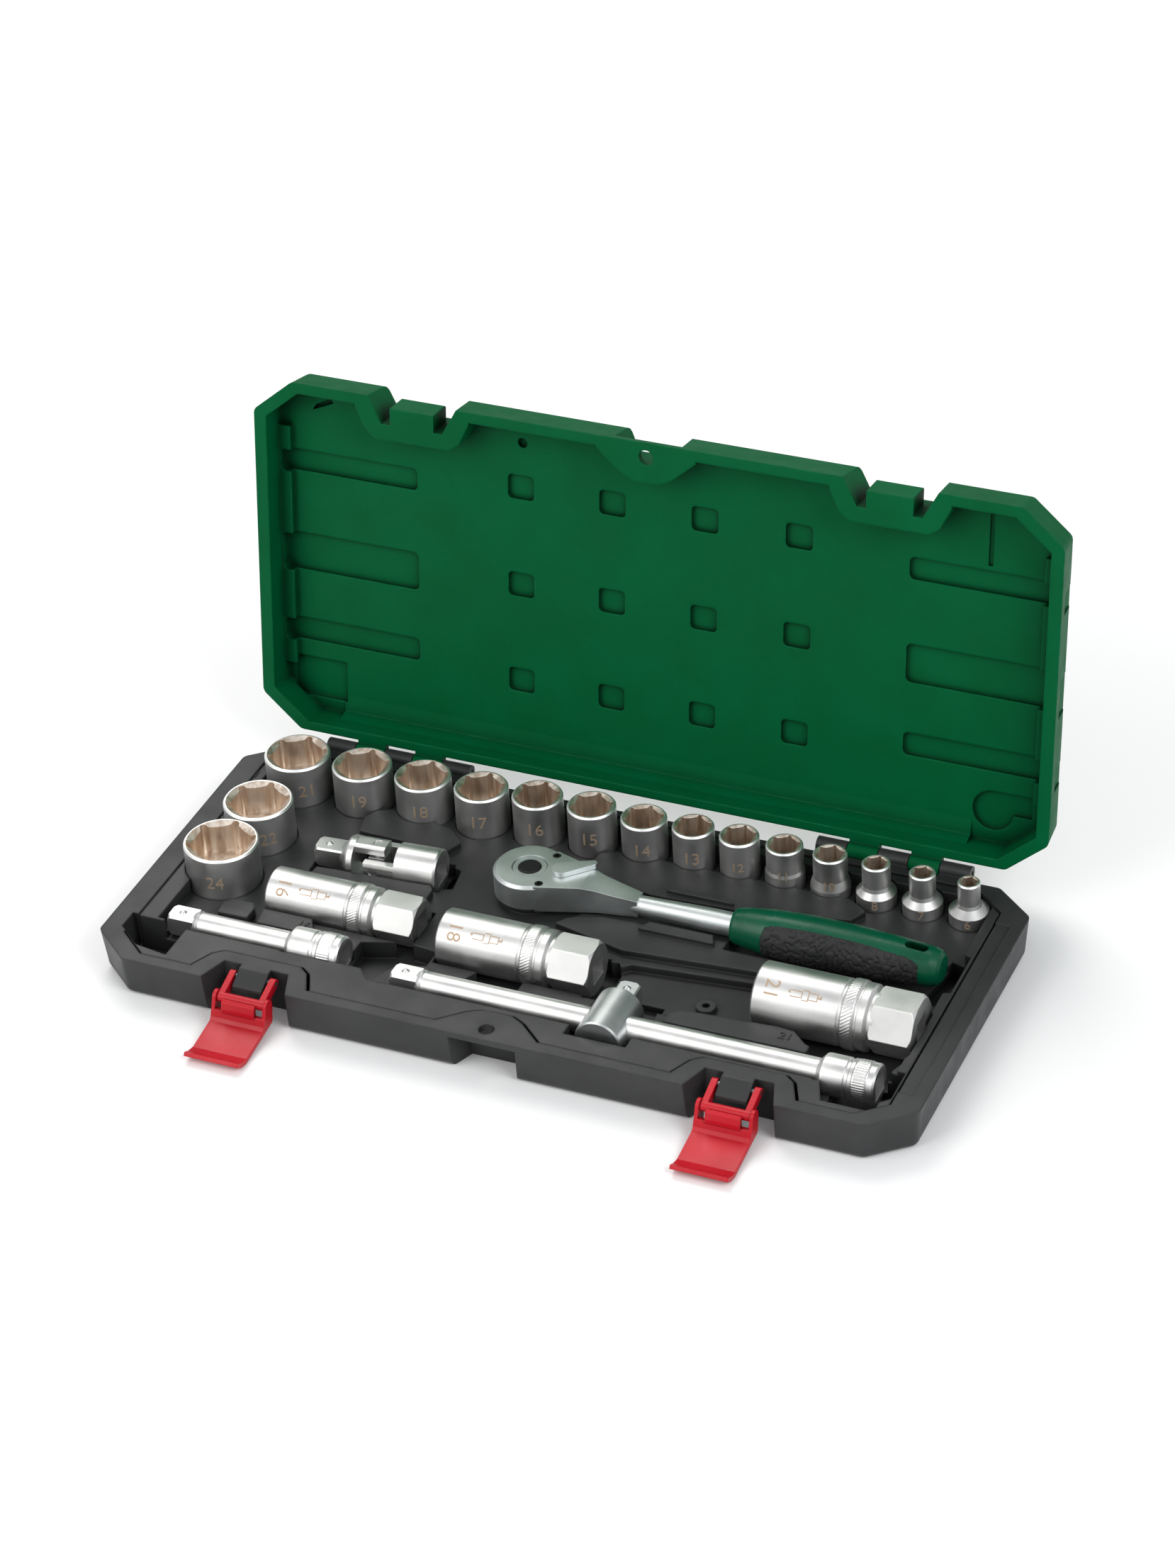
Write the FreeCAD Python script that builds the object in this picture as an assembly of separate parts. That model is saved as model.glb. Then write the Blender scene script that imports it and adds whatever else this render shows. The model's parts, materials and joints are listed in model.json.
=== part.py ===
import FreeCAD, Part
import math
import os
from FreeCAD import Placement, Rotation, Vector

# Socket wrench set in a moulded case, millimetres, Z up.
# Origin: middle of the case's underside. X runs left to right, Y runs from the latches to the hinge.
# The lid stands open; every tool lies or stands in its own well in the tray.

# --- case ---
case_length = 360.0
case_width = 163.0
base_height = 19.0
lid_height = 18.0
corner_x = 18.0
corner_y = 15.0
wall_draft = 1.8
edge_round = 3.0
corner_round = 4.0
floor_thickness = 1.6
rim_left = 10.5
rim_right = 12.0
rim_front = 5.5
rim_back = 3.6
rim_corner = 8.0
tray_groove = 1.0
split_gap = 0.3
lid_panel = 3.2
lid_rim_side = 5.5
lid_rim_front = 4.7
lid_rim_back = 4.0

# --- hinge ---
hinge_offset = 5.1
lid_open_angle = 98.0
knuckle_radius = 3.6
hinge_pin_radius = 1.5
running_clearance = 0.05
knuckle_zone_start = 80.0
knuckle_zone_length = 68.0
knuckle_count = 5
knuckle_gap = 0.5

# --- latches ---
latch_x = 106.0
latch_tab_half = 6.6
latch_link_reach = 11.5
latch_pivot_y = -72.2
latch_pivot_z = 15.5
latch_arm_x = 9.1
latch_arm_width = 2.6
latch_bar_radius = 2.1
latch_stub_radius = 1.45
latch_pin_radius = 1.1
latch_rest_angle = 17.2
lever_half = 12.2
lever_cheek = 1.5
lever_slope = 8.3
padlock_hole_radius = 3.25
padlock_flange = 3.0
padlock_y = -75.0

# --- tray ---
tray_top = 11.5
border_top = 18.3
panel_top = 14.5
block_top = 16.5
well_top = 21.0
bay_floor = 8.0
well_floor = 3.0
well_clearance = 0.5
seat_gap = 0.3

# --- sockets ---
drive_square = 9.5
square_clearance = 0.25
drive_end_diameter = 17.0
socket_length = 28.0
socket_spacing = 3.2
first_socket_x = 153.8
row_back_y = 75.5
small_row_y = 66.3
tall_extra = 1.2
socket_sizes = [6, 7, 8, 10, 11, 12, 13, 14, 15, 16, 17, 18, 19, 21, 22, 24]
socket_diameters = [9.5, 11.0, 12.0, 14.5, 15.8, 17.0, 18.0, 19.8, 21.0, 22.0, 23.5, 24.5, 26.0, 28.5, 30.0, 32.0]
side_column = {22: (-150.6, 24.0), 24: (-152.0, -8.0)}

# --- plug sockets: size, outside diameter, left end, axis y ---
plug_length = 68.0
plug_sockets = [(16, 22.0, -125.3, -13.5), (18, 24.5, -43.3, -20.0), (21, 28.0, 94.3, -15.5)]

# --- extensions ---
bar_radius = 5.55
tool_axis_z = 15.0
short_left = -157.0
short_length = 79.5
short_y = -45.7
long_left = -52.0
long_length = 210.0
long_y = -51.6
slider_x = 43.0
slider_radius = 10.0
ball_radius = 1.7

# --- universal joint ---
joint_centre = (-92.5, 20.2)
joint_length = 56.0
joint_yaw = 3.5
joint_radius = 9.5

# --- ratchet ---
head_x = -23.6
head_y = 22.6
head_radius = 15.5
head_bottom = 14.5
head_top = 27.0
spindle_radius = 7.5
button_radius = 4.9
ratchet_axis_y = 22.2
ratchet_axis_z = 19.0
handle_start = 68.0
handle_end = 158.3

hinge_y = case_width / 2 + hinge_offset
hinge_z = base_height
lid_bottom = base_height + split_gap
lid_top = base_height + lid_height
lid_ceiling = lid_top - lid_panel
cut_over = 1.0


def box(x0, x1, y0, y1, z0, z1):
    return Part.makeBox(x1 - x0, y1 - y0, z1 - z0, Vector(x0, y0, z0))


def cylinder(radius, height, base, axis):
    return Part.makeCylinder(radius, height, Vector(*base), Vector(*axis))


def prism(points, z0, z1):
    corners = [Vector(x, y, z0) for x, y in points]
    face = Part.Face(Part.makePolygon(corners + corners[:1]))
    return face.extrude(Vector(0, 0, z1 - z0))


def side_prism(points, x0, x1):
    # polygon in (y, z), pushed along X
    corners = [Vector(x0, y, z) for y, z in points]
    face = Part.Face(Part.makePolygon(corners + corners[:1]))
    return face.extrude(Vector(x1 - x0, 0, 0))


def turned(profile, base, axis):
    # profile of (distance along the axis, radius), spun round the axis
    points = [Vector(r, 0, a) for a, r in profile]
    points = [Vector(0, 0, profile[0][0])] + points + [Vector(0, 0, profile[-1][0])]
    face = Part.Face(Part.makePolygon(points + points[:1]))
    solid = face.revolve(Vector(0, 0, 0), Vector(0, 0, 1), 360)
    solid.Placement = Placement(Vector(*base), Rotation(Vector(0, 0, 1), Vector(*axis)))
    return solid


def joined(shapes):
    whole = shapes[0]
    for shape in shapes[1:]:
        whole = whole.fuse(shape)
    return whole.removeSplitter()


def less(shape, cuts):
    for cut in cuts:
        shape = shape.cut(cut)
    return shape


def hexagon(across_flats, z0, z1):
    radius = across_flats / math.sqrt(3)
    points = []
    for i in range(6):
        turn = math.radians(60 * i + 30)
        points.append((radius * math.cos(turn), radius * math.sin(turn)))
    return prism(points, z0, z1)


def case_outline(left, right, front, back, corner, z):
    # chamfered rectangle of the case, each side moved in by its own amount
    across = math.hypot(corner_x, corner_y)
    nx = corner_y / across
    ny = corner_x / across
    reach = nx * case_length / 2 + ny * (case_width / 2 - corner_y) - corner
    x_left = case_length / 2 - left
    x_right = case_length / 2 - right
    y_front = case_width / 2 - front
    y_back = case_width / 2 - back
    points = [
        ((reach - ny * y_front) / nx, -y_front),
        (x_right, -(reach - nx * x_right) / ny),
        (x_right, (reach - nx * x_right) / ny),
        ((reach - ny * y_back) / nx, y_back),
        (-(reach - ny * y_back) / nx, y_back),
        (-x_left, (reach - nx * x_left) / ny),
        (-x_left, -(reach - nx * x_left) / ny),
        (-(reach - ny * y_front) / nx, -y_front),
    ]
    return [(x, y) for x, y in points]


def wire(points, z):
    corners = [Vector(x, y, z) for x, y in points]
    return Part.makePolygon(corners + corners[:1])


def case_block(z_rim, z_far):
    # drafted block whose far face is smaller and has rounded edges
    rim = wire(case_outline(0, 0, 0, 0, 0, z_rim), z_rim)
    d = wall_draft
    far = wire(case_outline(d, d, d, d, d, z_far), z_far)
    block = Part.makeLoft([far, rim], True, True)
    upright = []
    flat = []
    for edge in block.Edges:
        ends = [v.Point.z for v in edge.Vertexes]
        if abs(ends[0] - ends[1]) > 1:
            upright.append(edge)
        elif abs(ends[0] - z_far) < 0.01:
            flat.append(edge)
    block = block.makeFillet(corner_round, upright)
    flat = [e for e in block.Edges if all(abs(v.Point.z - z_far) < 0.01 for v in e.Vertexes)]
    return block.makeFillet(edge_round, flat)


def front_bosses(grow, z0, z1):
    # thickened places behind the latches and the padlock eye
    out = -case_width / 2 - 5
    latch = [(26.0, -75.5), (21.5, -66.0), (17.0, -62.6)]
    eye = [(22.0, -75.8), (12.0, -67.0), (6.0, -63.8)]
    shapes = []
    for centre, profile in ((-latch_x, latch), (0.0, eye), (latch_x, latch)):
        right = [(centre + w + grow, y + grow) for w, y in profile]
        left = [(centre - w - grow, y + grow) for w, y in reversed(profile)]
        edge = profile[0][0] + grow
        points = [(centre + edge, out)] + right + left + [(centre - edge, out)]
        shapes.append(prism(points, z0, z1))
    return shapes


def latch_notch(centre, front_half, back_half, back_y, z0, z1):
    out = -case_width / 2 - 1
    points = [
        (centre - front_half, out),
        (centre + front_half, out),
        (centre + back_half, back_y),
        (centre - back_half, back_y),
    ]
    return prism(points, z0, z1)


def knuckle_span(side, index):
    length = (knuckle_zone_length - knuckle_gap * (knuckle_count - 1)) / knuckle_count
    start = knuckle_zone_start + index * (length + knuckle_gap)
    if side < 0:
        return -start - length, -start
    return start, start + length


def knuckles(first, z0, z1):
    # every second hinge knuckle, with the arm that carries it
    shapes = []
    for side in (-1, 1):
        for index in range(first, knuckle_count, 2):
            x0, x1 = knuckle_span(side, index)
            barrel = cylinder(knuckle_radius, x1 - x0, (x0, hinge_y, hinge_z), (1, 0, 0))
            arm = box(x0, x1, case_width / 2 - 2.5, hinge_y, z0, z1)
            shapes.append(barrel.fuse(arm))
    return shapes


def hinge_bores():
    radius = hinge_pin_radius + running_clearance
    start = knuckle_zone_start - cut_over
    length = knuckle_zone_length + 2 * cut_over
    right = cylinder(radius, length, (start, hinge_y, hinge_z), (1, 0, 0))
    left = cylinder(radius, length, (-start - length, hinge_y, hinge_z), (1, 0, 0))
    return [left, right]


def corner_pocket(z0):
    # open compartment in the front left corner
    points = [(-172.0, -51.5), (-172.0, -61.5), (-161.5, -70.0), (-146.0, -72.5), (-146.0, -51.5)]
    return prism(points, z0, base_height + cut_over)


def case_base():
    shell = case_block(base_height, 0.0)
    hollow = prism(
        case_outline(rim_left, rim_right, rim_front, rim_back, rim_corner, 0),
        floor_thickness, base_height + cut_over)
    hollow = less(hollow, front_bosses(0.0, 0.0, base_height + 2 * cut_over))
    shell = shell.cut(hollow)
    cuts = []
    tabs = []
    for side in (-1, 1):
        cuts.append(latch_notch(side * latch_x, 19.5, 14.5, -68.5, -cut_over, base_height + cut_over))
        profile = [(-68.0, 12.6), (-68.0, 19.0), (-71.0, 19.0), (-78.4, 15.0), (-78.8, 13.4), (-78.2, 12.6)]
        x = side * latch_x
        tabs.append(side_prism(profile, x - latch_tab_half, x + latch_tab_half))
    # recess under the padlock flange
    cuts.append(latch_notch(0.0, 15.4, 10.0, -69.5, -cut_over, base_height - padlock_flange))
    eye_base = (0, padlock_y, base_height - padlock_flange - cut_over)
    cuts.append(cylinder(padlock_hole_radius, padlock_flange + 2 * cut_over, eye_base, (0, 0, 1)))
    cuts.append(corner_pocket(well_floor))
    # lowered step inside the right rim
    cuts.append(box(160.0, 174.4, -58.0, 58.0, base_height - 0.8, base_height + cut_over))
    shell = less(shell, cuts)
    shell = joined([shell] + tabs + knuckles(0, hinge_z - knuckle_radius, base_height))
    pins = []
    for side in (-1, 1):
        start = (side * latch_x - 8.0, latch_pivot_y, latch_pivot_z)
        pins.append(cylinder(latch_pin_radius + running_clearance, 16.0, start, (1, 0, 0)))
    return less(shell, pins + hinge_bores())


def hinge_pins():
    length = knuckle_zone_length - 1.0
    start = knuckle_zone_start + 0.5
    right = cylinder(hinge_pin_radius, length, (start, hinge_y, hinge_z), (1, 0, 0))
    left = cylinder(hinge_pin_radius, length, (-start - length, hinge_y, hinge_z), (1, 0, 0))
    return Part.makeCompound([left, right])


def latch_pins():
    half = latch_arm_x + latch_arm_width / 2
    pins = []
    for side in (-1, 1):
        start = (side * latch_x - half, latch_pivot_y, latch_pivot_z)
        pins.append(cylinder(latch_pin_radius, 2 * half, start, (1, 0, 0)))
    return Part.makeCompound(pins)


def lid_rows():
    return [(-45.0, -35.0), (-6.0, 11.5), (34.5, 45.0)]


def lid_pads():
    # small square hollows and long side hollows pressed into the lid's panel
    depth = lid_panel - 1.2
    shapes = []
    for x in (-62.5, -20.8, 20.8, 62.5):
        for y in (-45.0, 0.0, 45.0):
            pad = box(x - 6.0, x + 6.0, y - 5.5, y + 5.5, lid_ceiling - cut_over, lid_ceiling + depth)
            shapes.append(pad.makeFillet(2.0, [e for e in pad.Edges if abs(e.tangentAt(0).z) > 0.9]))
    for side in (-1, 1):
        for y0, y1 in lid_rows():
            x0, x1 = sorted((side * 110.5, side * 174.0))
            pad = box(x0, x1, y0, y1, lid_ceiling - 6.0, lid_ceiling + depth)
            shapes.append(pad.makeFillet(2.5, [e for e in pad.Edges if abs(e.tangentAt(0).z) > 0.9]))
    return shapes


def lid_corner_hollows():
    depth = lid_panel - 1.2
    z0 = lid_ceiling - cut_over
    z1 = lid_ceiling + depth
    left = box(-171.0, -146.0, 53.0, 72.0, z0, z1)
    keyhole = box(150.0, 168.0, 54.0, 64.0, z0, z1)
    keyhole = keyhole.fuse(cylinder(9.0, z1 - z0, (151.0, 63.0, z0), (0, 0, 1)))
    slot = prism([(-159.5, -64.0), (-157.5, -67.0), (-150.5, -70.5), (-149.5, -68.5)], z0, z1)
    dot = cylinder(2.2, z1 - z0, (-61.6, -65.4, z0), (0, 0, 1))
    line = box(144.0, 146.0, -71.0, -47.0, z0, lid_ceiling + 1.0)
    return [left, keyhole, slot, dot, line]


def lid_scallops():
    # shallow hollows on the outside of both ends
    shapes = []
    for side in (-1, 1):
        for y0, y1 in lid_rows():
            x0, x1 = sorted((side * (case_length / 2 - wall_draft - 0.3), side * (case_length / 2 + 1)))
            shapes.append(box(x0, x1, y0, y1, lid_bottom + 6.0, lid_top + 1))
    return shapes


def lid_closed():
    shell = case_block(lid_bottom, lid_top)
    hollow = prism(
        case_outline(lid_rim_side, lid_rim_side, lid_rim_front, lid_rim_back, lid_rim_side, 0),
        lid_bottom - cut_over, lid_ceiling)
    keep = front_bosses(0.0, lid_bottom - 2 * cut_over, lid_top)
    ledge = 3.3
    for side in (-1, 1):
        x0, x1 = sorted((side * 169.0, side * 176.0))
        keep.append(box(x0, x1, -56.0, 56.0, lid_ceiling - ledge, lid_top))
    band = [(68.5, lid_ceiling + 1), (69.0, lid_ceiling), (75.9, lid_ceiling - 1.0), (77.6, lid_ceiling - 7.0),
            (79.0, lid_ceiling - 7.0), (79.0, lid_ceiling + 1)]
    keep.append(side_prism(band, -147.0, 142.0))
    hollow = less(hollow, keep)
    shell = shell.cut(hollow)
    cuts = lid_pads() + lid_corner_hollows() + lid_scallops()
    tabs = []
    tab_top = 32.2
    for side in (-1, 1):
        x = side * latch_x
        cuts.append(latch_notch(x, 21.0, 14.0, -69.5, lid_bottom - cut_over, lid_top + cut_over))
        profile = [(-69.0, lid_bottom), (-69.0, tab_top), (-76.4, tab_top), (-77.2, tab_top - 0.8), (-77.2, lid_bottom)]
        tabs.append(side_prism(profile, x - 10.0, x + 10.0))
    cuts.append(latch_notch(0.0, 15.4, 10.0, -69.5, lid_bottom + padlock_flange, lid_top + cut_over))
    eye_base = (0, padlock_y, lid_bottom - cut_over)
    cuts.append(cylinder(padlock_hole_radius, padlock_flange + 2 * cut_over, eye_base, (0, 0, 1)))
    shell = less(shell, cuts)
    shell = joined([shell] + tabs + knuckles(1, lid_bottom, hinge_z + knuckle_radius))
    return less(shell, hinge_bores())


def case_lid():
    lid = lid_closed()
    lid.rotate(Vector(0, hinge_y, hinge_z), Vector(1, 0, 0), -lid_open_angle)
    return lid


def latch_bar_centre():
    turn = math.radians(latch_rest_angle)
    y = latch_pivot_y - latch_link_reach * math.cos(turn)
    z = latch_pivot_z - latch_link_reach * math.sin(turn)
    return y, z


def latch_link(centre):
    # U-shaped wire link: two arms on the pivot pin, a cross bar with stub ends for the lever
    bar_y, bar_z = latch_bar_centre()
    turn = math.radians(latch_rest_angle)
    half = latch_arm_width / 2
    ry = 2.0 * math.sin(turn)
    rz = 2.0 * math.cos(turn)
    shapes = []
    for side in (-1, 1):
        x0 = centre + side * latch_arm_x - half
        arm = side_prism(
            [(latch_pivot_y - ry, latch_pivot_z + rz), (bar_y - ry, bar_z + rz),
             (bar_y + ry, bar_z - rz), (latch_pivot_y + ry, latch_pivot_z - rz)],
            x0, x0 + latch_arm_width)
        shapes.append(arm)
        shapes.append(cylinder(2.0, latch_arm_width, (x0, latch_pivot_y, latch_pivot_z), (1, 0, 0)))
    reach = latch_arm_x + half
    shapes.append(cylinder(latch_bar_radius, 2 * reach, (centre - reach, bar_y, bar_z), (1, 0, 0)))
    shapes.append(cylinder(latch_stub_radius, 2 * lever_half, (centre - lever_half, bar_y, bar_z), (1, 0, 0)))
    bore_start = (centre - reach - 1, latch_pivot_y, latch_pivot_z)
    bore = cylinder(latch_pin_radius + running_clearance, 2 * reach + 2, bore_start, (1, 0, 0))
    return joined(shapes).cut(bore)


def latch_lever(centre):
    # plate with a curled lip, hung from the link's bar by two cheeks
    bar_y, bar_z = latch_bar_centre()
    slope = math.radians(lever_slope)

    def place(u, w):
        y = bar_y - u * math.cos(slope) + w * math.sin(slope)
        z = bar_z - u * math.sin(slope) - w * math.cos(slope)
        return y, z

    section = [(3.4, 2.9), (5.0, 2.9), (6.6, 5.6), (8.0, 6.8), (23.5, 6.8), (27.2, 5.3), (30.0, 3.2),
               (31.2, 4.4), (28.4, 7.0), (24.5, 8.6), (4.6, 8.6), (3.2, 7.6)]
    plate = side_prism([place(u, w) for u, w in section], centre - lever_half, centre + lever_half)
    cheek_outline = [(-2.9, 0.8), (-0.8, 7.8), (0.4, 8.6), (6.0, 8.6), (7.0, 6.8), (2.9, -0.7)]
    # the middle of the plate runs up over the bar, between the link's arms
    inner = latch_arm_x - latch_arm_width / 2 - 0.4
    hood_outline = [(2.5, -1.6), (4.0, -1.2), (5.2, 1.4), (5.6, 3.4), (3.2, 3.6), (3.0, 1.0), (2.2, 0.0)]
    hood = side_prism([place(u, w) for u, w in hood_outline], centre - inner, centre + inner)
    shapes = [plate, hood]
    for side in (-1, 1):
        x0, x1 = sorted((centre + side * lever_half, centre + side * (lever_half - lever_cheek)))
        shapes.append(side_prism([place(u, w) for u, w in cheek_outline], x0, x1))
        shapes.append(cylinder(3.0, x1 - x0, (x0, bar_y, bar_z), (1, 0, 0)))
    bore_start = (centre - lever_half - 1, bar_y, bar_z)
    bore = cylinder(latch_stub_radius + running_clearance, 2 * lever_half + 2, bore_start, (1, 0, 0))
    return joined(shapes).cut(bore)


def socket_places():
    # row along the hinge side from the smallest size on the right, then the side column
    places = {}
    x = first_socket_x
    previous = None
    for size, diameter in zip(socket_sizes, socket_diameters):
        foot = max(diameter, drive_end_diameter)
        if size in side_column:
            places[size] = side_column[size]
            continue
        if previous is not None:
            x = x - (previous + foot) / 2 - socket_spacing
        previous = foot
        y = min(small_row_y, row_back_y - diameter / 2)
        places[size] = (x, y)
    return places


def socket_height(size):
    return socket_length + tall_extra if size in (15, 16) else socket_length


def socket(size, diameter, x, y):
    # hexagon mouth up, square drive end down
    height = socket_height(size)
    foot = max(diameter, drive_end_diameter)
    if diameter < drive_end_diameter - 0.5:
        shoulder = 0.47 * height if diameter > 14 else 0.5 * height
        profile = [(0, foot / 2 - 0.8), (0.8, foot / 2), (shoulder, foot / 2), (shoulder + 2.4, diameter / 2 + 0.5),
                   (shoulder + 4.0, diameter / 2), (height - 0.6, diameter / 2), (height, diameter / 2 - 0.5)]
    else:
        profile = [(0, foot / 2 - 1.2), (1.0, foot / 2 - 0.3), (2.0, foot / 2), (height - 0.8, foot / 2),
                   (height, foot / 2 - 0.6)]
    body = turned(profile, (0, 0, 0), (0, 0, 1))
    flats = size + 0.2
    depth = 0.5 * height
    mouth = hexagon(flats, height - depth, height + 1)
    corner = flats / math.sqrt(3) - 0.04 * size
    reliefs = []
    for i in range(6):
        turn = math.radians(60 * i + 30)
        start = (corner * math.cos(turn), corner * math.sin(turn), height - depth)
        reliefs.append(cylinder(0.075 * size, depth + 1, start, (0, 0, 1)))
    rim = diameter / 2 - 1.1
    lead_depth = (rim - flats / 2) * 0.55
    lead = Part.makeCone(flats / 2, rim + 0.2, lead_depth + 0.12, Vector(0, 0, height - lead_depth))
    half = drive_square / 2 + square_clearance
    square = box(-half, half, -half, half, -1, height - depth - 1.5)
    throat = cylinder(min(size, drive_square) * 0.42, height, (0, 0, 1), (0, 0, 1))
    body = less(body, [mouth] + reliefs + [lead, square, throat])
    body.translate(Vector(x, y, well_floor))
    return body


def plug_axis_z(diameter):
    return well_floor + 0.5 + diameter / 2


def plug_socket(size, diameter, x, y):
    # long socket lying on its side: hexagon mouth left, outside hexagon with the drive square right
    r = diameter / 2
    hex_start = plug_length - 18.0
    profile = [(0, r - 0.8), (0.8, r), (36.5, r), (36.9, r - 0.5), (37.7, r - 0.5), (38.1, r + 0.3), (43.3, r + 0.3),
               (43.7, r - 0.5), (44.5, r - 0.5), (44.9, r - 0.1), (hex_start - 2.2, r - 0.1), (hex_start - 1.2, r - 1.9),
               (hex_start + 1.0, r - 1.9)]
    body = turned(profile, (0, 0, 0), (0, 0, 1))
    across = diameter * 0.86
    hex_end = hexagon(across, hex_start, plug_length)
    trim = turned([(hex_start - 1.0, r - 2.0), (hex_start + 0.8, r - 0.2), (plug_length - 1.2, r - 0.2),
                   (plug_length, r - 1.6)], (0, 0, 0), (0, 0, 1))
    body = joined([body, hex_end.common(trim)])
    mouth = hexagon(size + 0.2, -1, 14.0)
    chamber = cylinder(size / 2 + 0.9, 28.0, (0, 0, 13.5), (0, 0, 1))
    half = drive_square / 2 + square_clearance
    square = box(-half, half, -half, half, 40.0, plug_length + 1)
    body = less(body, [mouth, chamber, square])
    body.Placement = Placement(Vector(x, y, plug_axis_z(diameter)), Rotation(Vector(0, 1, 0), 90))
    return body


def plug_insert(size, diameter, x, y):
    # rubber sleeve that grips the plug, inside the chamber
    sleeve = cylinder(size / 2 + 0.85, 12.0, (0, 0, 16.0), (0, 0, 1))
    hole = cylinder(size / 2 - 2.2, 14.0, (0, 0, 15.0), (0, 0, 1))
    sleeve = sleeve.cut(hole)
    sleeve.Placement = Placement(Vector(x, y, plug_axis_z(diameter)), Rotation(Vector(0, 1, 0), 90))
    return sleeve


def drive_end(x0, length, y, z):
    # square male end along X with rounded edges at its tip
    half = drive_square / 2
    square = box(x0, x0 + length, y - half, y + half, z - half, z + half)
    round_tip = turned([(0, half * 1.12), (1.2, half * 1.32), (length, half * 1.32)], (x0, y, z), (1, 0, 0))
    return square.common(round_tip)


def ball(x, y, z):
    return Part.makeSphere(ball_radius, Vector(x, y, z))


def ball_seat(x, y, z):
    return Part.makeSphere(ball_radius + running_clearance, Vector(x, y, z))


def ball_height():
    return drive_square / 2 - 0.9


def extension(left, length, y):
    z = tool_axis_z
    square_length = 11.0
    end_length = 22.5
    end_start = length - end_length
    profile = [(square_length - 0.01, 5.0), (square_length + 2.0, 6.0), (square_length + 3.0, bar_radius),
               (end_start - 2.5, bar_radius), (end_start, 8.3), (end_start + 1.0, 8.5), (length - 13.0, 8.5),
               (length - 12.6, 8.1), (length - 11.4, 8.1), (length - 11.0, 8.5), (length - 0.8, 8.5), (length, 7.8)]
    shaft = turned(profile, (left, y, z), (1, 0, 0))
    body = joined([shaft, drive_end(left, square_length + 1.0, y, z)])
    half = drive_square / 2 + square_clearance
    hole = box(left + length - 12.0, left + length + 1, y - half, y + half, z - half, z + half)
    seat = ball_seat(left + 5.5, y, z + ball_height())
    return less(body, [hole, seat])


def extension_ball(left, y):
    return ball(left + 5.5, y, tool_axis_z + ball_height())


def slider_drive():
    # body of the sliding adapter lies across the long bar, its square points to the hinge side
    z = tool_axis_z
    body = turned([(0, slider_radius - 0.6), (0.6, slider_radius), (24.5, slider_radius), (26.0, 8.0), (27.5, 6.4)],
                  (slider_x, -64.0, z), (0, 1, 0))
    half = drive_square / 2
    square = box(slider_x - half, slider_x + half, -37.0, -28.0, z - half, z + half)
    tip = turned([(0, half * 1.32), (7.8, half * 1.32), (9.0, half * 1.12)], (slider_x, -37.0, z), (0, 1, 0))
    body = joined([body, square.common(tip)])
    bore = cylinder(bar_radius + 0.07, 40.0, (slider_x - 20, long_y, z), (1, 0, 0))
    seat = ball_seat(slider_x, -32.2, z + ball_height())
    return less(body, [bore, seat])


def slider_ball():
    return ball(slider_x, -32.2, tool_axis_z + ball_height())


def joint_place(shape):
    where = Vector(joint_centre[0], joint_centre[1], tool_axis_z)
    shape.Placement = Placement(where, Rotation(Vector(0, 0, 1), joint_yaw)).multiply(shape.Placement)
    return shape


def joint_ears(direction, across):
    # two fork ears beside the cross, reaching from the body to just past the centre
    shapes = []
    for side in (-1, 1):
        if across == "y":
            ear = box(-4.2, 12.0, *sorted((side * 5.6, side * 9.2)), -4.2, 4.2)
        else:
            ear = box(-4.2, 12.0, -4.2, 4.2, *sorted((side * 5.6, side * 9.2)))
        shapes.append(ear)
    whole = joined_ears(shapes)
    rim = cylinder(joint_radius, 30.0, (-10, 0, 0), (1, 0, 0))
    whole = whole.common(rim)
    if direction < 0:
        whole.rotate(Vector(0, 0, 0), Vector(0, 0, 1), 180)
    return whole


def joined_ears(shapes):
    return shapes[0].fuse(shapes[1])


def joint_bore(axis):
    radius = 2.0 + running_clearance
    if axis == "y":
        return cylinder(radius, 30.0, (0, -15, 0), (0, 1, 0))
    return cylinder(radius, 30.0, (0, 0, -15), (0, 0, 1))


def joint_male():
    square_length = 11.5
    left = -joint_length / 2
    shaft = turned([(square_length - 0.01, 5.2), (square_length + 2.0, 6.6), (15.0, 9.0), (16.0, joint_radius),
                    (18.5, joint_radius)], (left, 0, 0), (1, 0, 0))
    body = joined([shaft, drive_end(left, square_length + 1.0, 0, 0), joint_ears(-1, "z")])
    return joint_place(less(body, [joint_bore("z"), ball_seat(left + 5.5, 0, ball_height())]))


def joint_female():
    right = joint_length / 2
    body = turned([(9.5, joint_radius), (right - 0.8, joint_radius), (right, joint_radius - 0.7)], (0, 0, 0), (1, 0, 0))
    body = joined([body, joint_ears(1, "y")])
    half = drive_square / 2 + square_clearance
    hole = box(right - 12.0, right + 1, -half, half, -half, half)
    return joint_place(less(body, [joint_bore("y"), hole]))


def joint_cross():
    core = box(-3.6, 3.6, -3.6, 3.6, -3.6, 3.6)
    pin_z = cylinder(2.0, 17.6, (0, 0, -8.8), (0, 0, 1))
    pin_y = cylinder(2.0, 17.6, (0, -8.8, 0), (0, 1, 0))
    return joint_place(joined([core, pin_z, pin_y]))


def joint_ball():
    return joint_place(ball(-joint_length / 2 + 5.5, 0, ball_height()))


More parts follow.
